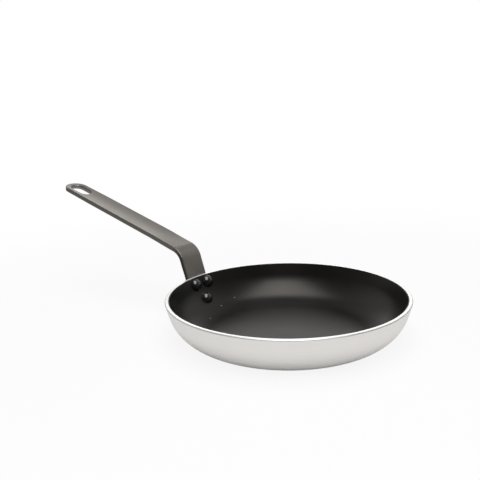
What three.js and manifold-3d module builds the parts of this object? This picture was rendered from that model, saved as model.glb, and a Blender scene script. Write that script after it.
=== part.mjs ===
// Frying pan: a pressed aluminium body with a non-stick lining, and a bent flat-bar steel handle
// held to the wall by three rivets. Millimetres, +Z up. The origin is the centre of the base,
// and the handle runs out along -X.
import * as THREE from 'three';
import { mergeVertices } from 'three/addons/utils/BufferGeometryUtils.js';
import Module from 'manifold-3d';

const { degToRad, lerp, smoothstep } = THREE.MathUtils;

const wasm = await Module();
wasm.setup();

// Pan body, measured on its outer skin. The conical band under the rim runs into a corner arc
// that is tangent to the base.
const rimDiameter = 240;
const panHeight = 41.5;
const wallThickness = 4;
const flareAngle = degToRad(16.5);
const conicalBand = 13;
const rimOuterRound = 0.6;
const rimInnerRound = 0.4;

// Non-stick lining, bonded to the inside of the body
const liningThickness = 0.3;
const bondLine = 0.03;

// Rivets, two side by side under the rim and one below them
const shankDiameter = 6;
const headDiameter = 13.5;
const headHeight = 4.8;
const tailDiameter = 11;
const tailHeight = 2.6;
const rivetRowDrop = 9;
const rivetRowPitch = 18.5;
const headSpacing = 5.3;

// Handle, bent from flat bar, with a pad that is formed to the wall
const barWidth = 28.4;
const barThickness = 5;
const barEdgeRound = 0.7;
const rivetToPadEdge = 4.6;
const padShoulderDrop = 13;
const padNoseRadius = 9.5;
const riseAboveRim = 18.9;
const insideBendRadius = 15;
const gripSlope = degToRad(15.5);
const gripLength = 194.5;
const gripDish = 0.8;
const dishRunIn = 40;
const tipWidth = 27.2;
const tipTaper = 40;
const hangSlotWidth = 15;
const hangSlotLength = 29.5;
const hangSlotRim = 6.5;

// Clearances
const handleSeatGap = 0.3;
const headSeatGap = 0.3;
const holeClearance = 0.3;

// Facet counts
const turnSegments = 72;
const rivetSegments = 20;
const cornerSteps = 10;
const domeSteps = 6;
const edgeRoundSteps = 3;
const faceSteps = 6;
const bendSteps = 10;
const endSteps = 10;

const rimRadius = rimDiameter / 2;
const cornerRadius = (panHeight - conicalBand * Math.cos(flareAngle)) / (1 - Math.sin(flareAngle));
const cornerCentre = new THREE.Vector2(
  rimRadius - conicalBand * Math.sin(flareAngle) - cornerRadius * Math.cos(flareAngle),
  cornerRadius,
);
const rimPoint = new THREE.Vector2(rimRadius, panHeight);
const downTheBand = new THREE.Vector2(-Math.sin(flareAngle), -Math.cos(flareAngle));

const liningDepth = wallThickness + bondLine;
const headSeatDepth = liningDepth + liningThickness + headSeatGap;
const tailSeatDepth = -(handleSeatGap + barThickness + headSeatGap);

const halfBar = barWidth / 2;
const halfTip = tipWidth / 2;
const rivetHalfSpacing = (headDiameter + headSpacing) / 2;
const halfPad = rivetHalfSpacing + rivetToPadEdge;
const bendRadius = insideBendRadius + barThickness;
const padNoseDrop = rivetRowDrop + rivetRowPitch;

// A point from polar coordinates about a centre in a plane.
function polar(centre, radius, angle) {
  return new THREE.Vector2(radius * Math.cos(angle), radius * Math.sin(angle)).add(centre);
}

// The outer skin in (radius, height), at a drop measured down the wall from the rim. A negative drop
// carries the conical band on above the rim. The lean is the wall's angle from upright.
function skinAt(drop) {
  const lean = flareAngle + Math.max(0, drop - conicalBand) / cornerRadius;
  const normal = polar(new THREE.Vector2(), 1, -lean);
  const onBand = downTheBand.clone().multiplyScalar(drop).add(rimPoint);
  const point = drop > conicalBand ? polar(cornerCentre, cornerRadius, -lean) : onBand;
  return { point, normal, lean };
}

// A line parallel to the outer skin at a depth inside it: from the axis out along the floor,
// round the corner and up the band to a height.
function skinLine(depth, top) {
  const line = [new THREE.Vector2(0, depth)];
  for (let i = 0; i <= cornerSteps; i++) {
    const lean = lerp(Math.PI / 2, flareAngle, i / cornerSteps);
    line.push(polar(cornerCentre, cornerRadius - depth, -lean));
  }
  const { x, y } = line.at(-1);
  line.push(new THREE.Vector2(x + (top - y) * Math.tan(flareAngle), top));
  return line;
}

// The points of a fillet at a corner, between unit directions to the points before and after it.
function fillet(corner, toBefore, toAfter, radius) {
  const half = toBefore.angleTo(toAfter) / 2;
  const inside = toBefore.clone().add(toAfter).normalize();
  const centre = inside.multiplyScalar(radius / Math.sin(half)).add(corner);
  const setback = radius / Math.tan(half);
  const first = toBefore.clone().multiplyScalar(setback).add(corner);
  const last = toAfter.clone().multiplyScalar(setback).add(corner);
  const from = first.sub(centre);
  const turn = Math.atan2(from.cross(last.sub(centre)), from.dot(last));
  const points = [];
  for (let i = 0; i <= edgeRoundSteps; i++) {
    points.push(polar(centre, radius, from.angle() + (turn * i) / edgeRoundSteps));
  }
  return points;
}

// A turned shape about Z from an (r, z) profile.
function turned(profile, segments) {
  return new THREE.LatheGeometry(profile, segments).rotateX(Math.PI / 2);
}

// A round bar along Z between two heights.
function roundBar(diameter, bottom, top) {
  const bar = new THREE.CylinderGeometry(diameter / 2, diameter / 2, top - bottom, rivetSegments);
  return bar.rotateX(Math.PI / 2).translate(0, 0, (top + bottom) / 2);
}

// A closed geometry as a solid that can be cut and joined.
function toSolid(geometry) {
  const bare = geometry.clone();
  bare.deleteAttribute('normal');
  bare.deleteAttribute('uv');
  const merged = mergeVertices(bare);
  const corners = merged.index.array;
  const triVerts = [];
  for (let i = 0; i < corners.length; i += 3) {
    const [a, b, c] = corners.slice(i, i + 3);
    if (a !== b && b !== c && c !== a) triVerts.push(a, b, c);
  }
  const vertProperties = new Float32Array(merged.attributes.position.array);
  const mesh = new wasm.Mesh({ numProp: 3, vertProperties, triVerts: new Uint32Array(triVerts) });
  return new wasm.Manifold(mesh);
}

// A solid as a flat-shaded geometry.
function toGeometry(solid) {
  const { vertProperties, triVerts } = solid.getMesh();
  const indexed = new THREE.BufferGeometry();
  indexed.setAttribute('position', new THREE.BufferAttribute(new Float32Array(vertProperties), 3));
  indexed.setIndex(new THREE.BufferAttribute(new Uint32Array(triVerts), 1));
  const geometry = indexed.toNonIndexed();
  geometry.computeVertexNormals();
  return geometry;
}

// The bowl between two depths inside the outer skin, cut off level at a height.
function bowl(outerDepth, innerDepth, top) {
  return turned([...skinLine(outerDepth, top), ...skinLine(innerDepth, top).reverse()], turnSegments);
}

// Where a rivet goes through the wall. Its own +Z points into the pan, square to the wall.
function rivetFrame(drop, turn) {
  const { point, lean } = skinAt(drop);
  return new THREE.Matrix4()
    .makeRotationZ(turn)
    .multiply(new THREE.Matrix4().makeTranslation(-point.x, 0, point.y))
    .multiply(new THREE.Matrix4().makeRotationY(Math.PI / 2 - lean));
}

const rowTurn = Math.asin(rivetHalfSpacing / skinAt(rivetRowDrop).point.x);
const rivetFrames = {
  rivet_upper_left: rivetFrame(rivetRowDrop, rowTurn),
  rivet_upper_right: rivetFrame(rivetRowDrop, -rowTurn),
  rivet_lower: rivetFrame(padNoseDrop, 0),
};

// The shank holes, drilled through lining, wall and handle in one go.
const drillReach = headSeatDepth - tailSeatDepth;
const drills = Object.values(rivetFrames).map((frame) =>
  toSolid(roundBar(shankDiameter + 2 * holeClearance, -drillReach, drillReach).applyMatrix4(frame)),
);

function drilled(solid) {
  return drills.reduce((rest, drill) => rest.subtract(drill), solid);
}

// The body: one wall thickness all over, with a level rim whose edges are rounded.
function panBody() {
  const outer = skinLine(0, panHeight);
  const inner = skinLine(wallThickness, panHeight);
  const inward = new THREE.Vector2(-1, 0);
  const outward = new THREE.Vector2(1, 0);
  const profile = [
    ...outer.slice(0, -1),
    ...fillet(outer.at(-1), downTheBand, inward, rimOuterRound),
    ...fillet(inner.at(-1), outward, downTheBand, rimInnerRound),
    ...inner.slice(0, -1).reverse(),
  ];
  return toGeometry(drilled(toSolid(turned(profile, turnSegments))));
}

// The lining ends where the rim's inner edge starts to round.
function nonstickLining() {
  const top = panHeight - rimInnerRound;
  return toGeometry(drilled(toSolid(bowl(liningDepth, liningDepth + liningThickness, top))));
}

// A domed plug along +Z from the wall's skin, standing a height above its seat.
function plug(diameter, height, seat) {
  const radius = diameter / 2;
  const domeRadius = (radius * radius + height * height) / (2 * height);
  const domeCentre = new THREE.Vector2(0, seat + height - domeRadius);
  const edge = Math.atan2(domeRadius - height, radius);
  const profile = [new THREE.Vector2(0, 0), new THREE.Vector2(radius, 0)];
  for (let i = 0; i < domeSteps; i++) {
    profile.push(polar(domeCentre, domeRadius, lerp(edge, Math.PI / 2, i / domeSteps)));
  }
  profile.push(new THREE.Vector2(0, seat + height));
  return turned(profile, rivetSegments);
}

// A rivet in its own frame: a domed head inside the pan, a shank, and a flatter tail formed against
// the handle. The undersides of head and tail are cut to the curved faces that they seat on.
function rivet(frame) {
  const toRivet = frame.clone().invert();
  const top = panHeight + headDiameter;
  const headSeat = toSolid(bowl(-barThickness, headSeatDepth, top).applyMatrix4(toRivet));
  const tailSeat = toSolid(bowl(tailSeatDepth, wallThickness, top).applyMatrix4(toRivet));
  const head = toSolid(plug(headDiameter, headHeight, headSeatDepth)).subtract(headSeat);
  const tailPlug = plug(tailDiameter, tailHeight, -tailSeatDepth).rotateX(Math.PI);
  const tail = toSolid(tailPlug).subtract(tailSeat);
  const shank = roundBar(shankDiameter, tailSeatDepth - tailHeight / 2, headSeatDepth + headHeight / 2);
  return toGeometry(toSolid(shank).add(head).add(tail));
}

// The pad's outline as (drop, half width): a round nose about the lower rivet, then straight tapers
// out to the shoulders.
function padOutline() {
  const nose = new THREE.Vector2(padNoseDrop, 0);
  const shoulder = new THREE.Vector2(padShoulderDrop, halfPad);
  const toShoulder = shoulder.clone().sub(nose);
  const tangent = toShoulder.angle() - Math.acos(padNoseRadius / toShoulder.length());
  const noseSteps = 7;
  const taperSteps = 4;
  const outline = [];
  for (let i = 1; i <= noseSteps; i++) outline.push(polar(nose, padNoseRadius, (tangent * i) / noseSteps));
  const start = outline.at(-1);
  for (let i = 1; i <= taperSteps; i++) outline.push(start.clone().lerp(shoulder, i / taperSteps));
  return outline;
}

// Stations along the handle from the nose to the tip. Each has a point of the front face in (x, z),
// the unit direction through the bar to its back face, half the width, and the curl: how far the
// section falls back from that face, per square millimetre of distance from the middle.
function handleStations() {
  const stations = [];

  // The pad hugs the round wall. Above the rim the bar flattens out and takes its own width.
  const alongWall = (drop, half, hug) => {
    const { point, normal } = skinAt(drop);
    const face = normal.clone().multiplyScalar(handleSeatGap).add(point);
    const through = new THREE.Vector2(-normal.x, normal.y);
    const curl = (-hug * normal.x) / (2 * face.x);
    stations.push({ face: new THREE.Vector2(-face.x, face.y), through, half, curl });
  };
  for (const { x: drop, y: half } of padOutline()) alongWall(drop, half, 1);
  const riseSteps = 6;
  for (let i = 0; i <= riseSteps; i++) {
    const flattened = smoothstep(i, 0, riseSteps);
    alongWall((-riseAboveRim * i) / riseSteps, lerp(halfPad, halfBar, flattened), 1 - flattened);
  }

  // The bend, about a centre behind the bar
  const foot = stations.at(-1);
  const centre = foot.through.clone().multiplyScalar(bendRadius).add(foot.face);
  for (let i = 1; i <= bendSteps; i++) {
    const angle = lerp(flareAngle, Math.PI / 2 - gripSlope, i / bendSteps);
    const face = polar(centre, bendRadius, angle);
    stations.push({ face, through: polar(new THREE.Vector2(), -1, angle), half: halfBar, curl: 0 });
  }

  // The grip, which is dished along its top after a first stretch and narrows towards its round end
  const { face: gripStart, through } = stations.at(-1);
  const alongGrip = (run, half) => {
    const face = gripPoint(gripStart, run);
    const curl = (-gripDish / halfBar ** 2) * smoothstep(run, 0, dishRunIn);
    stations.push({ face, through, half, curl });
  };
  const endCentre = gripLength - halfTip;
  const taperStart = endCentre - tipTaper;
  const runInSteps = 5;
  const straightSteps = 3;
  for (let i = 1; i <= runInSteps; i++) alongGrip((dishRunIn * i) / runInSteps, halfBar);
  for (let i = 1; i <= straightSteps; i++) {
    alongGrip(lerp(dishRunIn, taperStart, i / straightSteps), halfBar);
  }
  for (let i = 0; i < endSteps; i++) {
    const angle = (Math.PI / 2) * (i / endSteps);
    alongGrip(endCentre + halfTip * Math.sin(angle), halfTip * Math.cos(angle));
  }
  return { stations, gripStart };
}

// A point of the grip's top face, on its middle line, at a run from the end of the bend.
function gripPoint(gripStart, run) {
  return polar(gripStart, run, Math.PI - gripSlope);
}

// The ring of points round the bar at a station: two flat faces with rounded edges between them.
function barSection({ face, through, half, curl }) {
  const round = Math.min(barEdgeRound, barThickness / 2, half / 2);
  const flat = half - round;
  const ring = [];
  const add = (y, depth) => {
    const d = depth + curl * y * y;
    ring.push(new THREE.Vector3(face.x + through.x * d, y, face.y + through.y * d));
  };
  const edge = (y, depth, start) => {
    for (let i = 0; i <= edgeRoundSteps; i++) {
      const p = polar(new THREE.Vector2(y, depth), round, start + ((Math.PI / 2) * i) / edgeRoundSteps);
      add(p.x, p.y);
    }
  };
  edge(flat, round, -Math.PI / 2);
  edge(flat, barThickness - round, 0);
  for (let i = 1; i < faceSteps; i++) add(lerp(flat, -flat, i / faceSteps), barThickness);
  edge(-flat, barThickness - round, Math.PI / 2);
  edge(-flat, round, Math.PI);
  for (let i = 1; i < faceSteps; i++) add(lerp(-flat, flat, i / faceSteps), 0);
  return ring;
}

// A closed skin through rings of equal length, capped at both ends.
function loft(rings) {
  const count = rings[0].length;
  const index = [];
  for (let r = 0; r + 1 < rings.length; r++) {
    for (let i = 0; i < count; i++) {
      const a = r * count + i;
      const b = r * count + ((i + 1) % count);
      index.push(a, b, a + count);
      index.push(b, b + count, a + count);
    }
  }
  const last = (rings.length - 1) * count;
  for (let i = 1; i + 1 < count; i++) {
    index.push(0, i + 1, i);
    index.push(last, last + i, last + i + 1);
  }
  return new THREE.BufferGeometry().setFromPoints(rings.flat()).setIndex(index);
}

// The oblong hanging slot, cut square through the grip near its tip.
function hangSlot(gripStart) {
  const radius = hangSlotWidth / 2;
  const outline = new THREE.Shape();
  outline.absarc(0, 0, radius, -Math.PI / 2, Math.PI / 2);
  outline.absarc(hangSlotWidth - hangSlotLength, 0, radius, Math.PI / 2, (3 * Math.PI) / 2);
  const depth = 4 * (barThickness + gripDish);
  const cutter = new THREE.ExtrudeGeometry(outline, { depth, bevelEnabled: false, curveSegments: 12 });
  const { x, y } = gripPoint(gripStart, gripLength - hangSlotRim - radius);
  cutter.translate(0, 0, -depth / 2);
  cutter.rotateZ(Math.PI);
  cutter.rotateY(gripSlope);
  return cutter.translate(x, 0, y);
}

function handle() {
  const { stations, gripStart } = handleStations();
  const bar = toSolid(loft(stations.map(barSection)));
  return toGeometry(drilled(bar).subtract(toSolid(hangSlot(gripStart))));
}

function namedMesh(name, geometry, material) {
  const mesh = new THREE.Mesh(geometry, new THREE.MeshStandardMaterial(material));
  mesh.name = name;
  return mesh;
}

const satinAluminium = { color: 0xd3d1cd, roughness: 0.38, metalness: 1 };
const blackNonstick = { color: 0x2c2c2d, roughness: 0.42, metalness: 0 };
const satinSteel = { color: 0x85827d, roughness: 0.45, metalness: 1 };
const blackRivet = { color: 0x161616, roughness: 0.28, metalness: 0 };

const fryingPan = new THREE.Group();
fryingPan.name = 'frying_pan';
fryingPan.add(namedMesh('pan_body', panBody(), satinAluminium));
fryingPan.add(namedMesh('nonstick_lining', nonstickLining(), blackNonstick));
fryingPan.add(namedMesh('handle', handle(), satinSteel));
for (const [name, frame] of Object.entries(rivetFrames)) {
  const mesh = namedMesh(name, rivet(frame), blackRivet);
  mesh.applyMatrix4(frame);
  fryingPan.add(mesh);
}

export default fryingPan;
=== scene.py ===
import logging
import math
from dataclasses import dataclass
from enum import Enum
from functools import reduce
from typing import Callable, Optional, Sequence, Union

import bpy
from mathutils import Matrix, Vector


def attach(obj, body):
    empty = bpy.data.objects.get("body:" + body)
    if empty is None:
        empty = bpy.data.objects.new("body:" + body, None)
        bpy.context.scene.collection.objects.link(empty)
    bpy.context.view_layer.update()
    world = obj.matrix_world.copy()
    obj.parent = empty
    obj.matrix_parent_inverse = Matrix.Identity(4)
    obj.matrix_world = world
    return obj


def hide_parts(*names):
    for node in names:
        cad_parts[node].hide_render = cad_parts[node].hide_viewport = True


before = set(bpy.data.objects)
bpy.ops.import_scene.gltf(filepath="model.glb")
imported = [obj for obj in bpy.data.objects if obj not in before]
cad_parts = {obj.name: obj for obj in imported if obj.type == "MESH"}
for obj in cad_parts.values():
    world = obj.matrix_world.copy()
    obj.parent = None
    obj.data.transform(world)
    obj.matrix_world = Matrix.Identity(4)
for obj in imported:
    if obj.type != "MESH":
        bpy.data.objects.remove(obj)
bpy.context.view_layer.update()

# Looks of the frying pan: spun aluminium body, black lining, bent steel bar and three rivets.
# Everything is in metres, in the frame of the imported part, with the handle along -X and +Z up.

log = logging.getLogger("frying_pan")

MM = 0.001
BODY = "root"
WELD = 0.002 * MM
TOLERANCE = 0.01 * MM
SMOOTH = {"interpolation_type": "SMOOTHSTEP"}

Colour = tuple[float, float, float, float]
Point = tuple[float, float, float]
Span = tuple[float, float]
Piece = bpy.types.Object


class Slot(Enum):
    """The record's material slots."""

    ALUMINIUM = "satin_aluminium"
    NONSTICK = "black_nonstick"
    STEEL = "satin_steel"
    RIVET = "black_rivet"


class RivetPlace(Enum):
    """The three rivets, by the CAD node that each one stands for."""

    UPPER_LEFT = "rivet_upper_left"
    UPPER_RIGHT = "rivet_upper_right"
    LOWER = "rivet_lower"


def lerp(start: float, end: float, share: float) -> float:
    """Blend two numbers by a share from 0 to 1."""
    return start + (end - start) * share


def smoothstep(value: float, low: float, high: float) -> float:
    """Rise smoothly from 0 at low to 1 at high."""
    share = min(max((value - low) / (high - low), 0.0), 1.0)
    return share * share * (3 - 2 * share)


def polar(centre: Vector, radius: float, angle: float) -> Vector:
    """Give the point of a plane at a radius and angle about a centre."""
    return centre + radius * Vector((math.cos(angle), math.sin(angle)))


def fillet(
    corner: Vector, before: Vector, after: Vector, radius: float, steps: int = 6
) -> list[Vector]:
    """Round a corner of a profile.

    Args:
        corner: The corner point.
        before: Unit direction from the corner back along the profile.
        after: Unit direction from the corner on along the profile.
        radius: Radius of the round.
        steps: Number of edges in the round.

    Returns:
        The points of the round, in profile order.
    """
    half = before.angle(after) / 2
    centre = corner + (before + after).normalized() * radius / math.sin(half)
    setback = radius / math.tan(half)
    start = corner + before * setback - centre
    end = corner + after * setback - centre
    first = math.atan2(start.y, start.x)
    turn = math.atan2(start.x * end.y - start.y * end.x, start.dot(end))
    return [polar(centre, radius, first + turn * i / steps) for i in range(steps + 1)]


# Modelling operators

def begin_object(name: str, add: Callable[[], object]) -> Piece:
    """Add a primitive with nothing else selected.

    Args:
        name: Name of the new object and its mesh.
        add: The operator call that adds the primitive.

    Returns:
        The new object, active and selected.
    """
    bpy.ops.object.select_all(action="DESELECT")
    add()
    made = bpy.context.object
    made.name = made.data.name = name
    return made


def select_only(*objects: Piece) -> None:
    """Select objects alone.

    Args:
        *objects: The objects, of which the first one becomes active.
    """
    bpy.ops.object.select_all(action="DESELECT")
    for item in objects:
        item.select_set(True)
    bpy.context.view_layer.objects.active = objects[0]


def discard(made: Piece) -> None:
    """Delete an object."""
    select_only(made)
    bpy.ops.object.delete()


def enter(mode: str) -> None:
    """Switch the active object's mode."""
    bpy.ops.object.mode_set(mode=mode)


def pick_all() -> None:
    """Select the whole mesh, in edit mode."""
    bpy.ops.mesh.select_all(action="SELECT")


def trace(name: str, points: Sequence[Vector]) -> Piece:
    """Draw a chain of edges by extruding one vertex from point to point.

    Args:
        name: Name of the new object.
        points: The chain's points in space.

    Returns:
        The object, in edit mode.
    """
    made = begin_object(name, lambda: bpy.ops.mesh.primitive_plane_add(size=MM))
    enter("EDIT")
    pick_all()
    bpy.ops.mesh.merge(type="CENTER")
    bpy.ops.transform.translate(value=points[0])
    for here, there in zip(points, points[1:]):
        bpy.ops.mesh.extrude_vertices_move(TRANSFORM_OT_translate={"value": there - here})
    return made


def close_skin() -> None:
    """Merge doubles in edit mode, drop faces of no area and turn all faces outwards."""
    pick_all()
    bpy.ops.mesh.remove_doubles(threshold=WELD)
    bpy.ops.mesh.dissolve_degenerate(threshold=WELD / 2)
    pick_all()
    bpy.ops.mesh.normals_make_consistent(inside=False)


def reclose(made: Piece) -> None:
    """Close a piece's skin.

    Args:
        made: The piece, in object mode.
    """
    select_only(made)
    enter("EDIT")
    close_skin()
    enter("OBJECT")


def turned(name: str, profile: Sequence[Vector], steps: int) -> Piece:
    """Spin a profile of (radius, height) points about Z.

    Args:
        name: Name of the new object.
        profile: Points from the axis round to the axis again.
        steps: Number of steps in the whole turn.

    Returns:
        The closed shape, in object mode.
    """
    made = trace(name, [Vector((p.x, 0, p.y)) for p in profile])
    pick_all()
    bpy.ops.mesh.spin(steps=steps, angle=math.tau, center=(0, 0, 0), axis=(0, 0, 1))
    close_skin()
    enter("OBJECT")
    return made


def apply_modifier(made: Piece, kind: str, **settings: object) -> None:
    """Add a modifier, set it up and apply it.

    Args:
        made: The object.
        kind: The modifier's type.
        **settings: Values for the modifier's properties.
    """
    select_only(made)
    bpy.ops.object.modifier_add(type=kind)
    modifier = made.modifiers[-1]
    for key, value in settings.items():
        setattr(modifier, key, value)
    bpy.ops.object.modifier_apply(modifier=modifier.name)


def shade(made: Piece, sharp_degrees: float, weighted: bool = False) -> None:
    """Shade a piece smooth up to an angle.

    Args:
        made: The piece.
        sharp_degrees: Edges that turn more than this stay sharp.
        weighted: Whether large faces stay flat beside their rounded edges.
    """
    select_only(made)
    bpy.ops.object.shade_smooth_by_angle(angle=math.radians(sharp_degrees))
    if weighted:
        apply_modifier(made, "WEIGHTED_NORMAL", keep_sharp=True)


# The pan's shape

@dataclass(frozen=True)
class PanShape:
    """The outer skin of the pressed wall: base, corner arc and flared band up to the rim."""

    rim_radius: float = 120 * MM
    height: float = 41.5 * MM
    wall: float = 4 * MM
    flare: float = math.radians(16.5)
    band: float = 13 * MM
    floor_steps: int = 10
    corner_steps: int = 30
    band_steps: int = 5
    turn_steps: int = 256
    sharp_degrees: float = 50

    @property
    def corner_radius(self) -> float:
        """Radius of the arc that is tangent to the base and to the band."""
        rise = self.height - self.band * math.cos(self.flare)
        return rise / (1 - math.sin(self.flare))

    @property
    def corner_centre(self) -> Vector:
        """Centre of the corner arc as (radius, height)."""
        run = self.band * math.sin(self.flare) + self.corner_radius * math.cos(self.flare)
        return Vector((self.rim_radius - run, self.corner_radius))

    @property
    def down_the_band(self) -> Vector:
        """Unit direction down the band from the rim."""
        return Vector((-math.sin(self.flare), -math.cos(self.flare)))

    def skin_at(self, drop: float) -> tuple[Vector, float]:
        """Find the outer skin at a drop down the wall from the rim.

        Args:
            drop: Length along the wall. Below zero it carries the band on above the rim.

        Returns:
            The point as (radius, height), and the wall's lean from upright.
        """
        lean = self.flare + max(0.0, drop - self.band) / self.corner_radius
        if drop > self.band:
            return polar(self.corner_centre, self.corner_radius, -lean), lean
        return Vector((self.rim_radius, self.height)) + self.down_the_band * drop, lean

    def depth_at(self, point: Vector) -> float:
        """Measure how far a point lies inside the outer skin.

        Args:
            point: The point in space.

        Returns:
            Its depth, below zero outside the skin.
        """
        out = Vector((math.hypot(point.x, point.y), point.z)) - self.corner_centre
        lean = min(max(math.atan2(-out.y, out.x), self.flare), math.pi / 2)
        return self.corner_radius - out.dot(Vector((math.cos(lean), -math.sin(lean))))

    def skin_line(self, depth: float, top: float) -> list[Vector]:
        """Draw a line parallel to the outer skin.

        Args:
            depth: Distance inside the skin.
            top: Height at which the line ends.

        Returns:
            Points from the axis out along the floor, round the corner and up the band.
        """
        centre, radius = self.corner_centre, self.corner_radius - depth
        line = [Vector((centre.x * i / self.floor_steps, depth)) for i in range(self.floor_steps)]
        for i in range(self.corner_steps + 1):
            lean = lerp(math.pi / 2, self.flare, i / self.corner_steps)
            line.append(polar(centre, radius, -lean))
        foot = line[-1]
        head = Vector((foot.x + (top - foot.y) * math.tan(self.flare), top))
        line += [foot.lerp(head, i / self.band_steps) for i in range(1, self.band_steps + 1)]
        return line


# Shader boards

def operator(operation: str, swapped: bool = False) -> Callable[..., "Val"]:
    """Make an operator of Val that adds one Math node.

    Args:
        operation: The node's operation.
        swapped: Whether the other value comes first.

    Returns:
        The operator.
    """
    def work(this: "Val", other: "Operand" = 0.0) -> "Val":
        """Add the node."""
        first, second = (other, this) if swapped else (this, other)
        return this.board.val("ShaderNodeMath", 0, {"operation": operation}, {0: first, 1: second})

    return work


class Val:
    """A node's output socket that takes part in arithmetic."""

    __add__ = __radd__ = operator("ADD")
    __sub__ = operator("SUBTRACT")
    __rsub__ = operator("SUBTRACT", swapped=True)
    __mul__ = operator("MULTIPLY")
    __truediv__ = operator("DIVIDE")
    __pow__ = operator("POWER")
    above = operator("MAXIMUM")
    sine = operator("SINE")

    def __init__(self, board: "Board", socket: bpy.types.NodeSocket) -> None:
        """Wrap a socket of a board."""
        self.board = board
        self.socket = socket

    def step(self, low: float, high: float) -> "Val":
        """Rise smoothly from 0 at low to 1 at high."""
        inputs = {"Value": self, "From Min": low, "From Max": high}
        return self.board.val("ShaderNodeMapRange", "Result", SMOOTH, inputs)


Operand = Union[Val, float]
Link = Union[Val, float, Sequence[float], bpy.types.NodeSocket]


class Board:
    """A node tree that is filled in by code."""

    def __init__(self, tree: bpy.types.NodeTree) -> None:
        """Start from an empty tree."""
        tree.nodes.clear()
        self.tree = tree

    def node(
        self,
        kind: str,
        settings: Optional[dict[str, object]] = None,
        inputs: Optional[dict[Union[str, int], Link]] = None,
    ) -> bpy.types.Node:
        """Add a node.

        Args:
            kind: The node's type.
            settings: Values for its own properties, set first.
            inputs: Values or links for its sockets, by name or number.

        Returns:
            The node.
        """
        made = self.tree.nodes.new(kind)
        for key, value in (settings or {}).items():
            setattr(made, key, value)
        for key, value in (inputs or {}).items():
            if isinstance(value, Val):
                value = value.socket
            if isinstance(value, bpy.types.NodeSocket):
                self.tree.links.new(value, made.inputs[key])
            else:
                made.inputs[key].default_value = value
        return made

    def val(self, kind: str, output: Union[str, int], *args: dict) -> Val:
        """Add a node and wrap one of its outputs."""
        return Val(self, self.node(kind, *args).outputs[output])

    def place(self, output: str = "Object") -> Link:
        """Give the place of the shaded point."""
        return self.node("ShaderNodeTexCoord").outputs[output]

    def rays(self) -> tuple[Val, Val]:
        """Tell two kinds of rays.

        Returns:
            Masks of rays straight from the camera and of rays that gloss throws back.
        """
        kinds = self.node("ShaderNodeLightPath").outputs
        straight = Val(self, kinds["Is Camera Ray"]).above(Val(self, kinds["Is Transmission Ray"]))
        return straight, Val(self, kinds["Is Glossy Ray"])

    def axes(self, vector: Link) -> tuple[Val, Val, Val]:
        """Split a vector into its three values."""
        made = self.node("ShaderNodeSeparateXYZ", {}, {0: vector})
        return tuple(Val(self, made.outputs[i]) for i in range(3))

    def vector(self, x: Operand, y: Operand) -> Val:
        """Join two values into a vector with no Z."""
        return self.val("ShaderNodeCombineXYZ", 0, {}, {0: x, 1: y})

    def noise(self, vector: Link, scale: float, detail: float) -> Val:
        """Add soft noise from 0 to 1, with a scale in features per metre."""
        inputs = {"Vector": vector, "Scale": scale, "Detail": detail, "Roughness": 0.55}
        return self.val("ShaderNodeTexNoise", 0, {}, inputs)

    def blend(self, share: Operand, first: Link, second: Link) -> Val:
        """Mix two colours."""
        return self.val("ShaderNodeMix", 2, {"data_type": "RGBA"}, {0: share, 6: first, 7: second})

    def bump(self, height: Val, strength: float, distance: float) -> Val:
        """Turn a height from 0 to 1 into a normal, with a full height in metres."""
        inputs = {"Height": height, "Strength": strength, "Distance": distance}
        return self.val("ShaderNodeBump", 0, {}, inputs)


def grey(level: float, warmth: float = 0.0) -> Colour:
    """Give a grey of linear level, with red up and blue down by a share."""
    return (level * (1 + warmth), level, level * (1 - warmth), 1.0)


class Finish:
    """A surface finish that fills in one material."""

    name: str

    def shader(self, board: Board) -> dict[str, Link]:
        """Give the main shader's sockets."""
        raise NotImplementedError

    def material(self) -> bpy.types.Material:
        """Make the material.

        Returns:
            The material, with its main shader set up.
        """
        made = bpy.data.materials.new(self.name)
        made.use_nodes = True
        board = Board(made.node_tree)
        surface = board.node("ShaderNodeBsdfPrincipled", {}, self.shader(board))
        board.node("ShaderNodeOutputMaterial", {}, {"Surface": surface.outputs[0]})
        return made

    def put_on(self, made: Piece) -> None:
        """Give a piece this finish alone."""
        made.data.materials.clear()
        made.data.materials.append(self.material())


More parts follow.
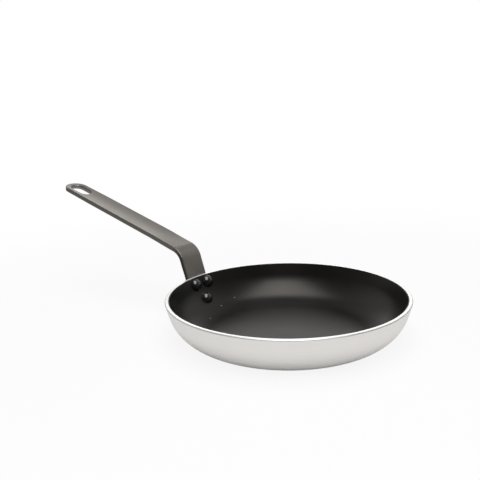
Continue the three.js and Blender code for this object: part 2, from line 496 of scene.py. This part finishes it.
@dataclass(frozen=True)
class SpunAluminium(Finish):
    """Satin aluminium with fine turning lines, a bright cut rim and rings under the base."""

    rim_height: float
    coated_radius: float
    name: str = "spun_aluminium"
    level: float = 0.80
    handled_share: float = 0.94
    warmth: float = 0.026
    roughness: float = 0.44
    turning_scale: float = 2600.0
    band_scale: float = 260.0
    handling_scale: float = 22.0
    relief: float = 0.03 * MM
    rim_depth: float = 0.20 * MM
    rim_colour: Colour = grey(0.96, 0.004)
    rim_roughness: float = 0.33
    rim_dullness: float = 0.55
    base_depth: float = 1.2 * MM
    ring_pitch: float = 1.6 * MM
    spray_depth: float = 2.0 * MM
    spray_fade: float = 0.1 * MM
    spray_colour: Colour = grey(0.006, 0.03)

    def shader(self, board: Board) -> dict[str, Link]:
        """Give the main shader's sockets.

        Args:
            board: The tree to fill.

        Returns:
            The sockets by name.
        """
        place = board.place()
        x, y, z = board.axes(place)
        radius = (x * x + y * y) ** 0.5
        section = board.vector(radius, z)
        turning = board.noise(section, self.turning_scale, 3.0)
        bands = board.noise(section, self.band_scale, 2.0)
        handling = board.noise(place, self.handling_scale, 4.0)

        top, edge = self.rim_height, self.coated_radius
        rim = z.step(top - self.rim_depth, top - 0.2 * self.rim_depth)
        base = 1 - z.step(self.base_depth / 6, self.base_depth)
        rings = (radius * (math.tau / self.ring_pitch)).sine() * 0.5 + 0.5
        near_rim = z.step(top - self.spray_depth, top - 0.6 * self.spray_depth)
        spray = near_rim * (1 - radius.step(edge - self.spray_fade, edge))

        dull = grey(self.level * self.handled_share, self.warmth)
        clean = grey(self.level, self.warmth)
        wall = board.blend(bands * 0.5 + handling * 0.5, dull, clean)
        colour = board.blend(rim, wall, self.rim_colour)
        rough = self.roughness + (turning - 0.5) * 0.10 + (handling - 0.5) * 0.12 + base * 0.04
        height = turning * 0.6 + base * rings * 0.9
        return {
            "Base Color": board.blend(spray, colour, self.spray_colour),
            "Metallic": (1 - spray) * (1 - rim * self.rim_dullness),
            "Roughness": rough * (1 - rim) + rim * self.rim_roughness,
            "Normal": board.bump(height, 0.25, self.relief),
        }


@dataclass(frozen=True)
class BlackNonstick(Finish):
    """Semi-gloss black coating with a fine sprayed texture and a few flecks of dust; its floor is
    coloured lighter than its walls, which is painted light.
    """

    flecks: tuple[Point, ...]
    name: str = "black_nonstick_coat"
    wall_colour: Colour = grey(0.002, 0.03)
    # Painted light: the floor of the coating is coloured lighter than its walls, as if lit from
    # above.
    painted_light_bed_colour: Colour = grey(0.025, 0.05)
    bed_radius: float = 92 * MM
    bed_roughening: float = 0.10
    roughness: float = 0.34
    cloud_scale: float = 28.0
    spray_scale: float = 1500.0
    relief: float = 0.02 * MM
    fleck_radius: float = 1.0 * MM
    fleck_colour: Colour = grey(0.20, 0.02)
    # Painted light: the gloss is tinted warm, standing in for a warm lamp.
    warm_lamp_gloss_tint: Colour = (1.0, 0.94, 0.88, 1.0)

    def speck(self, board: Board, place: Link, at: Point) -> Val:
        """Mask one fleck of dust, from 1 in its middle to 0 at its edge."""
        off = board.val("ShaderNodeVectorMath", "Value", {"operation": "DISTANCE"}, {0: place, 1: at})
        return 1 - off.step(self.fleck_radius * 0.4, self.fleck_radius)

    def shader(self, board: Board) -> dict[str, Link]:
        """Give the main shader's sockets.

        Args:
            board: The tree to fill.

        Returns:
            The sockets by name.
        """
        place = board.place()
        x, y, _ = board.axes(place)
        radius = (x * x + y * y) ** 0.5
        cloud = board.noise(place, self.cloud_scale, 4.0)
        spray = board.noise(place, self.spray_scale, 2.0)

        # Painted light: this mask colours the flat floor lighter than the walls; it also makes the
        # floor rougher.
        painted_light_and_rough_bed = 1 - radius.step(self.bed_radius * 0.45, self.bed_radius)
        colour = board.blend(painted_light_and_rough_bed * 0.85 + cloud * 0.15, self.wall_colour, self.painted_light_bed_colour)
        dust = reduce(Val.above, [self.speck(board, place, at) for at in self.flecks])
        rough = painted_light_and_rough_bed * self.bed_roughening + (cloud - 0.5) * 0.10 + (spray - 0.5) * 0.05
        return {
            "Base Color": board.blend(dust, colour, self.fleck_colour),
            "Roughness": rough + self.roughness,
            "Specular Tint": self.warm_lamp_gloss_tint,
            "Normal": board.bump(spray, 0.22, self.relief),
        }


@dataclass(frozen=True)
class SatinSteel(Finish):
    """Dull satin steel with a faint grain along the bar, and sheared sides that are darker partly as
    a cut finish and partly as painted shade.
    """

    name: str = "satin_steel_bar"
    level: float = 0.268
    warmth: float = 0.085
    roughness: float = 0.36
    face_shares: Span = (0.86, 1.12)
    # Painted shade, in part: the sheared sides are darker than the faces, darkest on the riser and
    # lighter along the grip.
    shaded_side_shares: Span = (0.12, 0.46)
    side_shade_change: Span = (20 * MM, 45 * MM)
    grain_stretch: float = 0.03
    streak_stretch: float = 0.12
    grain_scale: float = 1800.0
    streak_scale: float = 240.0
    mottle_scale: float = 95.0
    relief: float = 0.03 * MM
    uv_map: str = "blank"
    side_mark: str = "sheared_side"

    def tint(self, share: float) -> Colour:
        """Give the steel's grey, lighter or darker by a share."""
        return grey(self.level * share, self.warmth)

    def shader(self, board: Board) -> dict[str, Link]:
        """Give the main shader's sockets.

        Args:
            board: The tree to fill.

        Returns:
            The sockets by name.
        """
        blank = board.node("ShaderNodeUVMap", {"uv_map": self.uv_map}).outputs[0]
        along, across, _ = board.axes(blank)
        side = board.val("ShaderNodeAttribute", "Fac", {"attribute_name": self.side_mark})
        long_grain = board.vector(along * self.grain_stretch, across)
        long_streaks = board.vector(along * self.streak_stretch, across)
        grain = board.noise(long_grain, self.grain_scale, 3.0)
        streaks = board.noise(long_streaks, self.streak_scale, 3.0)
        mottle = board.noise(board.place(), self.mottle_scale, 4.0)

        face = board.blend(streaks * 0.6 + mottle * 0.4, *map(self.tint, self.face_shares))
        # Painted shade, in part: the sides are darkened, more on the riser than on the grip.
        shaded_side = board.blend(along.step(*self.side_shade_change), *map(self.tint, self.shaded_side_shares))
        rough = self.roughness + (grain - 0.5) * 0.10 + (mottle - 0.5) * 0.12 + side * 0.08
        return {
            "Base Color": board.blend(side, face, shaded_side),
            "Metallic": 1.0,
            "Roughness": rough,
            "Normal": board.bump(grain * 0.7 + mottle * 0.3, 0.1, self.relief),
        }


@dataclass(frozen=True)
class BlackRivet(Finish):
    """Glossy black coat over a pressed rivet head."""

    name: str = "black_rivet_coat"
    thin_colour: Colour = grey(0.006, 0.02)
    thick_colour: Colour = grey(0.014, 0.03)
    roughness: float = 0.17
    refraction: float = 1.8
    cloud_scale: float = 240.0
    peel_scale: float = 1400.0
    relief: float = 0.02 * MM

    def shader(self, board: Board) -> dict[str, Link]:
        """Give the main shader's sockets.

        Args:
            board: The tree to fill.

        Returns:
            The sockets by name.
        """
        place = board.place()
        cloud = board.noise(place, self.cloud_scale, 3.0)
        peel = board.noise(place, self.peel_scale, 2.0)
        return {
            "Base Color": board.blend(cloud, self.thin_colour, self.thick_colour),
            "Roughness": self.roughness + (cloud - 0.5) * 0.08,
            "IOR": self.refraction,
            "Normal": board.bump(peel, 0.12, self.relief),
        }


# Pieces

def hand_over(made: Piece, node: str) -> None:
    """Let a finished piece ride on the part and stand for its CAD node.

    Args:
        made: The piece.
        node: The CAD node that it stands for.
    """
    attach(made, BODY)
    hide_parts(node)
    log.info("%s: %d faces, stands for %s", made.name, len(made.data.polygons), node)


@dataclass
class RivetSet:
    """Three domed rivets that hold the handle to the wall."""

    shape: PanShape
    lining_skin: float
    bar_back: float
    shank_radius: float = 3 * MM
    head_radius: float = 6.75 * MM
    head_height: float = 4.8 * MM
    tail_radius: float = 5.5 * MM
    tail_height: float = 2.6 * MM
    seat_gap: float = 0.3 * MM
    hole_clearance: float = 0.3 * MM
    row_drop: float = 9 * MM
    row_pitch: float = 18.5 * MM
    half_spacing: float = 9.4 * MM
    under_head: tuple[float, ...] = (0.97, 0.85, 0.7, 0.55)
    under_tail: tuple[float, ...] = (0.65, 0.8, 0.97)
    turn_steps: int = 64
    hole_steps: int = 48
    dome_steps: int = 14
    fit_rounds: int = 6
    sharp_degrees: float = 40
    finish: BlackRivet = BlackRivet()

    @property
    def head_seat(self) -> float:
        """Depth of the face that the heads seat on."""
        return self.lining_skin + self.seat_gap

    @property
    def tail_seat(self) -> float:
        """Depth of the face that the tails seat on, outside the skin and so below zero."""
        return -(self.bar_back + self.seat_gap)

    def frames(self) -> dict[RivetPlace, Matrix]:
        """Place the rivets.

        Returns:
            Each rivet's frame, with its own +Z square to the wall and into the pan.
        """
        row_radius = self.shape.skin_at(self.row_drop)[0].x
        row_turn = math.asin(self.half_spacing / row_radius)
        places = {
            RivetPlace.UPPER_LEFT: (self.row_drop, row_turn),
            RivetPlace.UPPER_RIGHT: (self.row_drop, -row_turn),
            RivetPlace.LOWER: (self.row_drop + self.row_pitch, 0.0),
        }
        frames = {}
        for place, (drop, turn) in places.items():
            point, lean = self.shape.skin_at(drop)
            frames[place] = (
                Matrix.Rotation(turn, 4, "Z")
                @ Matrix.Translation((-point.x, 0, point.y))
                @ Matrix.Rotation(math.pi / 2 - lean, 4, "Y")
            )
        return frames

    def drill(self, made: Piece) -> None:
        """Cut the three shank holes through a piece.

        Args:
            made: The piece, in object mode.
        """
        reach = 2 * (self.head_seat - self.tail_seat)
        radius = self.shank_radius + self.hole_clearance
        bits = []
        for stance in self.frames().values():
            bits.append(begin_object("drill", lambda: bpy.ops.mesh.primitive_cylinder_add(
                vertices=self.hole_steps,
                radius=radius,
                depth=reach,
                location=stance.translation,
                rotation=stance.to_euler(),
            )))
        select_only(*bits)
        bpy.ops.object.join()
        apply_modifier(made, "BOOLEAN", object=bits[0], operation="DIFFERENCE", solver="EXACT")
        discard(bits[0])

    def dome(self, radius: float, height: float) -> list[Vector]:
        """Draw half a dome's outline.

        Args:
            radius: Radius of its edge.
            height: Height of its top over its edge.

        Returns:
            Points from its top to its edge, which stands on zero.
        """
        ball = (radius ** 2 + height ** 2) / (2 * height)
        centre = Vector((0, height - ball))
        edge = math.atan2(ball - height, radius)
        angles = [lerp(math.pi / 2, edge, i / self.dome_steps) for i in range(self.dome_steps + 1)]
        points = [polar(centre, ball, angle) for angle in angles]
        points[0] = Vector((0, height))
        return points

    def profile(self) -> list[Vector]:
        """Draw the rivet's outline.

        Returns:
            Points from the top of its head to the end of its tail.
        """
        top, end = self.head_seat, self.tail_seat
        head = [p + Vector((0, top)) for p in self.dome(self.head_radius, self.head_height)]
        tail = [Vector((p.x, end - p.y)) for p in self.dome(self.tail_radius, self.tail_height)]
        line = head + [Vector((self.head_radius * share, top)) for share in self.under_head]
        line += [Vector((self.shank_radius, seat)) for seat in (top, end)]
        line += [Vector((self.tail_radius * share, end)) for share in self.under_tail]
        return line + tail[::-1]

    def seat_under(self, stance: Matrix, point: Vector, depth: float) -> float:
        """Find the height, in a rivet's frame, of a curved seat over one of its points.

        Args:
            stance: The rivet's frame.
            point: A point in that frame.
            depth: Depth of the seat inside the outer skin.

        Returns:
            The seat's height along the rivet.
        """
        height = depth
        for _ in range(self.fit_rounds):
            here = stance @ Vector((point.x, point.y, height))
            height += depth - self.shape.depth_at(here)
        return height

    def build(self) -> dict[RivetPlace, Piece]:
        """Turn one rivet, copy it to its three places and fit head and tail to their seats.

        Returns:
            The pieces by place.
        """
        blank = turned("rivet_blank", self.profile(), self.turn_steps)
        made = {}
        for place, stance in self.frames().items():
            select_only(blank)
            bpy.ops.object.duplicate()
            piece = bpy.context.object
            piece.name = piece.data.name = "black_" + place.value
            for vertex in piece.data.vertices:
                point = vertex.co.copy()
                off_shank = math.hypot(point.x, point.y) > self.shank_radius + TOLERANCE
                if point.z > 0:
                    point.z = max(point.z, self.seat_under(stance, point, self.head_seat))
                elif off_shank and point.z > self.tail_seat - TOLERANCE:
                    point.z = self.seat_under(stance, point, self.tail_seat)
                vertex.co = stance @ point
            reclose(piece)
            shade(piece, self.sharp_degrees)
            made[place] = piece
        discard(blank)
        return made

    def dress(self, made: dict[RivetPlace, Piece]) -> None:
        """Finish the rivets and hand them over.

        Args:
            made: The pieces by place.
        """
        for place, piece in made.items():
            self.finish.put_on(piece)
            hand_over(piece, place.value)


@dataclass
class PanBody:
    """The pressed and turned body, open at the top."""

    shape: PanShape
    rim_outer_round: float = 1.15 * MM
    rim_inner_round: float = 0.4 * MM
    coat_over_rim: float = 0.5 * MM

    def build(self, rivets: RivetSet) -> Piece:
        """Spin the wall and drill it for the rivets.

        Args:
            rivets: The rivets that go through it.

        Returns:
            The piece.
        """
        shape = self.shape
        outer = shape.skin_line(0.0, shape.height)
        inner = shape.skin_line(shape.wall, shape.height)
        down = shape.down_the_band
        profile = outer[:-1]
        profile += fillet(outer[-1], down, Vector((-1, 0)), self.rim_outer_round)
        profile += fillet(inner[-1], Vector((1, 0)), down, self.rim_inner_round)
        profile += inner[-2::-1]
        made = turned("spun_body", profile, shape.turn_steps)
        rivets.drill(made)
        shade(made, shape.sharp_degrees, weighted=True)
        return made

    def dress(self, made: Piece) -> None:
        """Finish the body and hand it over.

        Args:
            made: The piece.
        """
        inner_edge = self.shape.rim_radius - self.shape.wall / math.cos(self.shape.flare)
        coated = inner_edge + self.coat_over_rim
        SpunAluminium(rim_height=self.shape.height, coated_radius=coated).put_on(made)
        hand_over(made, "pan_body")


@dataclass
class Lining:
    """The black coating on the inside of the body."""

    shape: PanShape
    thickness: float = 0.3 * MM
    bond_line: float = 0.03 * MM
    rim_margin: float = 0.4 * MM
    dust_mm: tuple[Point, ...] = (
        (-95.0, 9.9, 9.2),
        (-84.6, -19.8, 5.6),
        (-94.8, 32.2, 12.4),
    )

    @property
    def back(self) -> float:
        """Depth of its face on the body."""
        return self.shape.wall + self.bond_line

    @property
    def skin(self) -> float:
        """Depth of its open face."""
        return self.back + self.thickness

    def build(self, rivets: RivetSet) -> Piece:
        """Spin the coating and drill it for the rivets.

        Args:
            rivets: The rivets that go through it.

        Returns:
            The piece.
        """
        shape, top = self.shape, self.shape.height - self.rim_margin
        profile = shape.skin_line(self.back, top) + shape.skin_line(self.skin, top)[::-1]
        made = turned("nonstick_coat", profile, shape.turn_steps)
        rivets.drill(made)
        shade(made, shape.sharp_degrees)
        return made

    def dress(self, made: Piece) -> None:
        """Finish the coating and hand it over.

        Args:
            made: The piece.
        """
        flecks = tuple(tuple(c * MM for c in place) for place in self.dust_mm)
        BlackNonstick(flecks=flecks).put_on(made)
        hand_over(made, "nonstick_lining")


@dataclass
class Handle:
    """A flat bar, cut as a blank, formed to the wall at its pad and bent out into a grip."""

    shape: PanShape
    half_width: float = 14.2 * MM
    half_pad: float = 14 * MM
    half_tip: float = 13.6 * MM
    tip_taper: float = 40 * MM
    thickness: float = 5 * MM
    edge_round: float = 0.7 * MM
    slot_round: float = 1.2 * MM
    seat_gap: float = 0.3 * MM
    shoulder_drop: float = 13 * MM
    shoulder_round: float = 8 * MM
    nose_drop: float = 27.5 * MM
    nose_radius: float = 9.5 * MM
    rise: float = 18.9 * MM
    inside_bend: float = 15 * MM
    slope: float = math.radians(15.5)
    grip_length: float = 194.5 * MM
    dish: float = 0.8 * MM
    dish_run_in: float = 40 * MM
    slot_width: float = 15 * MM
    slot_length: float = 29.5 * MM
    slot_rim: float = 6.5 * MM
    # Share of the sides' darkening, which is partly painted shade, that the slot's walls take.
    slot_shade: float = 0.4
    arc_step: float = math.radians(4.5)
    neck_steps: int = 6
    bevel_steps: int = 5
    pad_slice: float = 1.6 * MM
    rise_slice: float = 1.8 * MM
    bend_slice: float = 1.0 * MM
    run_in_slice: float = 4 * MM
    grip_slice: float = 6 * MM
    width_cuts: tuple[float, ...] = (2.5 * MM, 5 * MM, 9.4 * MM, 11.2 * MM, 12.6 * MM)
    sharp_degrees: float = 40
    finish: SatinSteel = SatinSteel()

    @property
    def bend_radius(self) -> float:
        """Radius of the bend on the bar's front face."""
        return self.inside_bend + self.thickness

    @property
    def bend_turn(self) -> float:
        """Angle that the bend turns through."""
        return math.pi / 2 - self.slope - self.shape.flare

    @property
    def grip_start(self) -> float:
        """Length along the blank, from the rim, at which the grip starts."""
        return self.rise + self.bend_radius * self.bend_turn

    @property
    def tip(self) -> float:
        """Length along the blank of the grip's end."""
        return self.grip_start + self.grip_length

    @property
    def slot_ends(self) -> tuple[float, float]:
        """Lengths along the blank of the centres of the slot's two round ends."""
        outer = self.tip - self.slot_rim - self.slot_width / 2
        return outer - self.slot_length + self.slot_width, outer

    @property
    def slot_border(self) -> float:
        """Distance from the slot's middle line that takes in its rounded edges."""
        return self.slot_width / 2 + self.slot_round * 2

    def arc(self, centre: Vector, radius: float, start: float, end: float) -> list[Vector]:
        """Draw an arc of the blank's outline."""
        steps = max(2, round(abs(end - start) / self.arc_step))
        return [polar(centre, radius, lerp(start, end, i / steps)) for i in range(steps + 1)]

    def outline(self) -> list[Vector]:
        """Draw half of the blank as (length from the rim, distance from the middle line).

        Returns:
            A closed outline: nose, taper, side, tip, and back along the middle round the slot.
        """
        nose = Vector((-self.nose_drop, 0))
        shoulder = Vector((-self.shoulder_drop, self.half_pad))
        reach = shoulder - nose
        bearing = math.atan2(reach.y, reach.x)
        touch = bearing + math.acos(self.nose_radius / reach.length)
        line = self.arc(nose, self.nose_radius, math.pi, touch)
        taper = (shoulder - line[-1]).normalized()
        line += fillet(shoulder, -taper, Vector((1, 0)), self.shoulder_round)
        for i in range(self.neck_steps + 1):
            width = lerp(self.half_pad, self.half_width, smoothstep(i, 0, self.neck_steps))
            line.append(Vector((self.rise * i / self.neck_steps, width)))
        tip_centre = Vector((self.tip - self.half_tip, 0))
        line.append(Vector((tip_centre.x - self.tip_taper, self.half_width)))
        line += self.arc(tip_centre, self.half_tip, math.pi / 2, 0)
        near, far = (Vector((end, 0)) for end in self.slot_ends)
        line += self.arc(far, self.slot_width / 2, 0, math.pi / 2)
        line += self.arc(near, self.slot_width / 2, math.pi / 2, math.pi)
        for point in line:
            if point.y < WELD:
                point.y = 0.0
        return line

    def off_slot(self, point: Vector) -> float:
        """Measure a blank point's distance from the slot's middle line."""
        near, far = self.slot_ends
        return math.hypot(point.x - min(max(point.x, near), far), point.y)

    def select_rims(self, made: Piece, of_slot: bool) -> None:
        """Select the blank's top and bottom outline edges, in edit mode.

        Args:
            made: The blank.
            of_slot: Whether to take the slot's edges, or else the outer ones.
        """
        bpy.ops.mesh.select_all(action="DESELECT")
        enter("OBJECT")
        points = made.data.vertices
        for edge in made.data.edges:
            a, b = (points[i].co for i in edge.vertices)
            level = abs(a.z - b.z) < WELD
            outside = min(abs(a.z), abs(a.z + self.thickness)) < WELD
            on_middle = max(a.y, b.y) < WELD
            by_slot = self.off_slot(a) < self.slot_border and self.off_slot(b) < self.slot_border
            edge.select = level and outside and not on_middle and by_slot == of_slot
        enter("EDIT")

    def length_cuts(self) -> list[float]:
        """List where the blank is sliced so that it can be formed.

        Returns:
            Lengths along the blank.
        """
        run_in_end = self.grip_start + self.dish_run_in
        spans = (
            (-(self.nose_drop + self.nose_radius), 0, self.pad_slice),
            (0, self.rise, self.rise_slice),
            (self.rise, self.grip_start, self.bend_slice),
            (self.grip_start, run_in_end, self.run_in_slice),
            (run_in_end, self.tip, self.grip_slice),
        )
        cuts = []
        for start, end, step in spans:
            count = math.ceil((end - start) / step)
            cuts += [lerp(start, end, i / count) for i in range(count)]
        return cuts[1:]

    def blank(self) -> Piece:
        """Cut the flat blank, with its edges rounded and sliced for forming.

        Returns:
            The blank with its front face on Z = 0, its length along X from the rim.
        """
        outline = [p.to_3d() for p in self.outline()]
        made = trace("bent_bar", outline + outline[:1])
        pick_all()
        bpy.ops.mesh.remove_doubles(threshold=WELD)
        bpy.ops.mesh.edge_face_add()
        bpy.ops.mesh.extrude_region_move(TRANSFORM_OT_translate={"value": (0, 0, -self.thickness)})
        bpy.ops.mesh.select_all(action="DESELECT")
        enter("OBJECT")
        points = made.data.vertices
        for face in made.data.polygons:
            face.select = all(points[i].co.y < WELD for i in face.vertices)
        enter("EDIT")
        bpy.ops.mesh.delete(type="FACE")
        for of_slot, offset in ((True, self.slot_round), (False, self.edge_round)):
            self.select_rims(made, of_slot)
            segments = self.bevel_steps
            bpy.ops.mesh.bevel(offset=offset, segments=segments, profile=0.5, affect="EDGES")
        planes = [((at, 0, 0), (1, 0, 0)) for at in self.length_cuts()]
        planes += [((0, at, 0), (0, 1, 0)) for at in self.width_cuts]
        for place, normal in planes:
            pick_all()
            bpy.ops.mesh.bisect(plane_co=place, plane_no=normal, threshold=TOLERANCE)
        enter("OBJECT")
        apply_modifier(
            made,
            "MIRROR",
            use_axis=(False, True, False),
            use_mirror_merge=True,
            merge_threshold=WELD,
        )
        reclose(made)
        return made

    def mark(self, made: Piece) -> None:
        """Keep the flat blank's coordinates as a UV map, and mark its sheared sides.

        Args:
            made: The flat blank.
        """
        mesh = made.data
        flat = mesh.uv_layers.new(name=self.finish.uv_map)
        for loop in mesh.loops:
            point = mesh.vertices[loop.vertex_index].co
            flat.uv[loop.index].vector = (point.x, point.y + 0.5 * point.z)
        sides = mesh.attributes.new(self.finish.side_mark, "FLOAT", "POINT")
        for vertex in mesh.vertices:
            depth = min(-vertex.co.z, self.thickness + vertex.co.z)
            in_slot = self.off_slot(vertex.co) < self.slot_border
            round_off = self.slot_round if in_slot else self.edge_round
            side = smoothstep(depth, 0.5 * round_off, round_off)
            # The slot's walls take less of the sides' darkening, which is partly painted shade.
            sides.data[vertex.index].value = side * (self.slot_shade if in_slot else 1)

    def station(self, length: float) -> tuple[Vector, Vector, float]:
        """Find where a length along the blank ends up.

        Args:
            length: Length along the blank's front face from the rim.

        Returns:
            The front face's point in (x, z), the unit direction through the bar, and the curl:
            how far the section falls back per square metre of distance from its middle.
        """
        shape = self.shape
        if length <= self.rise:
            point, lean = shape.skin_at(-length)
            normal = Vector((math.cos(lean), -math.sin(lean)))
            face = point + normal * self.seat_gap
            hug = 1 - smoothstep(length, 0, self.rise)
            curl = -hug * normal.x / (2 * face.x)
            return Vector((-face.x, face.y)), Vector((-normal.x, normal.y)), curl
        foot, through, _ = self.station(self.rise)
        centre = foot + through * self.bend_radius
        turned_by = min((length - self.rise) / self.bend_radius, self.bend_turn)
        angle = shape.flare + turned_by
        face, through = polar(centre, self.bend_radius, angle), -polar(Vector((0, 0)), 1, angle)
        run = max(0.0, length - self.grip_start)
        curl = -self.dish / self.half_width ** 2 * smoothstep(run, 0, self.dish_run_in)
        return polar(face, run, math.pi - self.slope), through, curl

    def form(self, made: Piece) -> None:
        """Form the blank: hug the wall, bend, and dish the grip.

        Args:
            made: The flat blank.
        """
        for vertex in made.data.vertices:
            length, across, height = vertex.co
            face, through, curl = self.station(length)
            place = face + through * (curl * across ** 2 - height)
            vertex.co = (place.x, across, place.y)

    def build(self, rivets: RivetSet) -> Piece:
        """Cut, mark, form and drill the bar.

        Args:
            rivets: The rivets that go through its pad.

        Returns:
            The piece.
        """
        made = self.blank()
        self.mark(made)
        self.form(made)
        reclose(made)
        rivets.drill(made)
        shade(made, self.sharp_degrees, weighted=True)
        return made

    def dress(self, made: Piece) -> None:
        """Finish the bar and hand it over."""
        self.finish.put_on(made)
        hand_over(made, "handle")


# Studio

@dataclass
class Studio:
    """White floor, soft light from above and the camera."""

    camera_place: Point = (0.39018, -0.54362, 0.25884)
    azimuth: float = math.radians(39.52)
    dip: float = math.radians(13.55)
    roll: float = math.radians(-1.52)
    lens: float = 53.69
    sensor: float = 36.0
    clip_start: float = 0.01
    floor_size: float = 12.0
    floor_level: float = 0.86
    floor_shown: float = 0.88
    floor_clears: Span = (0.20, 0.75)
    floor_mirrored: float = 0.62
    # Painted shade and light in the floor's glow seen by gloss: dark under the pan's foot, brighter
    # behind, darker to the near left.
    mirror_shadow_edge: Span = (0.085, 0.130)
    mirror_lit_behind: float = 0.12
    mirror_shade_left: float = 0.22
    box_width: float = 0.74
    box_depth: float = 1.30
    box_distance: float = 1.10
    box_rise: float = math.radians(69.5)
    box_aim: Span = (0.04, 0.10)
    box_radiance: float = 3.4
    ambient: float = 0.30
    room_light: float = 0.48
    room_front: Span = (-0.4, 0.75)
    room_foot: Span = (0.04, 0.30)
    room_head: Span = (0.66, 0.82)
    sweep_light: float = 1.60
    sweep_width: Span = (0.85, 0.985)
    sweep_foot: Span = (0.12, 0.36)
    sweep_head: Span = (0.32, 0.60)
    side_light: float = 0.15
    side_fade: Span = (0.2, 0.7)
    front_light: float = 0.03

    @property
    def right(self) -> Vector:
        """Level direction to the right of the view."""
        return Vector((math.cos(self.azimuth), math.sin(self.azimuth), 0))

    @property
    def ahead(self) -> Vector:
        """Level direction away from the camera."""
        return Vector((-math.sin(self.azimuth), math.cos(self.azimuth), 0))

    def camera(self) -> None:
        """Set the camera at the photograph's angle."""
        made = bpy.data.objects.new("camera", bpy.data.cameras.new("camera"))
        bpy.context.scene.collection.objects.link(made)
        made.matrix_world = (
            Matrix.Translation(self.camera_place)
            @ Matrix.Rotation(self.azimuth, 4, "Z")
            @ Matrix.Rotation(math.pi / 2 - self.dip, 4, "X")
            @ Matrix.Rotation(self.roll, 4, "Z")
        )
        made.data.sensor_width = self.sensor
        made.data.lens = self.lens
        made.data.clip_start = self.clip_start
        bpy.context.scene.camera = made

    def floor(self) -> None:
        """Lay the white floor, which keeps the object's shadow; its glow as seen by gloss carries
        painted shade and painted light.
        """
        made = begin_object("floor", lambda: bpy.ops.mesh.primitive_plane_add(size=self.floor_size))
        material = bpy.data.materials.new("white_floor")
        material.use_nodes = True
        board = Board(material.node_tree)
        seen, glossy = board.rays()
        x, y, _ = board.axes(board.place())
        radius = (x * x + y * y) ** 0.5
        clear = self.floor_shown + radius.step(*self.floor_clears) * (1 - self.floor_shown)
        behind = (x * self.ahead.x + y * self.ahead.y) / (radius + MM)
        left = (x * self.right.x + y * self.right.y) / (radius + MM) * -1
        # Painted shade and light: what gloss sees of the floor is dark near the pan's foot, brighter
        # behind and darker to the near left.
        shaded_near_left = left.step(0.2, 0.9) * (1 - behind.step(-0.2, 0.5))
        mirror_light_and_shade = 1 + behind.step(0.0, 0.8) * self.mirror_lit_behind - shaded_near_left * self.mirror_shade_left
        mirrored = glossy * self.floor_mirrored * mirror_light_and_shade * radius.step(*self.mirror_shadow_edge)
        shown = (seen * clear).above(mirrored)
        lit = board.node("ShaderNodeBsdfDiffuse", {}, {"Color": grey(self.floor_level)})
        white = board.node("ShaderNodeEmission", {}, {"Color": grey(1.0), "Strength": 1.0})
        layers = {0: shown, 1: lit.outputs[0], 2: white.outputs[0]}
        mixed = board.node("ShaderNodeMixShader", {}, layers)
        board.node("ShaderNodeOutputMaterial", {}, {"Surface": mixed.outputs[0]})
        made.data.materials.append(material)

    def surroundings(self) -> None:
        """Fill the world: white to the camera, and to gloss a backdrop that fades to the front."""
        world = bpy.data.worlds.new("studio")
        bpy.context.scene.world = world
        world.use_nodes = True
        board = Board(world.node_tree)
        seen, glossy = board.rays()
        x, y, z = board.axes(board.place("Generated"))
        toward = (x * self.ahead.x + y * self.ahead.y) / (1.0001 - z * z) ** 0.5
        sweep = toward.step(*self.sweep_width) * z.step(*self.sweep_foot)
        sweep = sweep * (1 - z.step(*self.sweep_head)) * self.sweep_light
        room = (z.step(*self.room_foot) * 0.45 + 0.55) * (1 - z.step(*self.room_head) * 0.75)
        sides = 1 - (toward * toward).step(*self.side_fade)
        backdrop = toward.step(*self.room_front) * (room * self.room_light + sweep)
        backdrop = backdrop + sides * self.side_light + self.front_light
        strength = seen + (1 - seen) * (glossy * backdrop + (1 - glossy) * self.ambient)
        back = board.node("ShaderNodeBackground", {}, {"Color": grey(1.0), "Strength": strength})
        board.node("ShaderNodeOutputWorld", {}, {"Surface": back.outputs[0]})

    def softbox(self) -> None:
        """Hang a large soft light over the pan, leaning back to the camera."""
        data = bpy.data.lights.new("overhead_softbox", "AREA")
        data.shape = "RECTANGLE"
        data.size, data.size_y = self.box_width, self.box_depth
        data.energy = self.box_radiance * math.pi * self.box_width * self.box_depth
        made = bpy.data.objects.new("overhead_softbox", data)
        bpy.context.scene.collection.objects.link(made)
        made.matrix_world = (
            Matrix.Rotation(self.azimuth, 4, "Z")
            @ Matrix.Translation((*self.box_aim, 0))
            @ Matrix.Rotation(math.pi / 2 - self.box_rise, 4, "X")
            @ Matrix.Translation((0, 0, self.box_distance))
        )

    def build(self) -> None:
        """Set up camera, floor, world and light."""
        self.camera()
        self.floor()
        self.surroundings()
        self.softbox()
        bpy.context.scene.view_settings.view_transform = "Standard"


def main() -> None:
    """Build the studio and every piece."""
    logging.basicConfig(level=logging.INFO, format="%(name)s: %(message)s")
    Studio().build()
    shape = PanShape()
    lining, handle = Lining(shape), Handle(shape)
    bar_back = handle.seat_gap + handle.thickness
    rivets = RivetSet(shape, lining_skin=lining.skin, bar_back=bar_back)
    for part in (PanBody(shape), lining, handle):
        part.dress(part.build(rivets))
    rivets.dress(rivets.build())


if __name__ == "__main__":
    main()
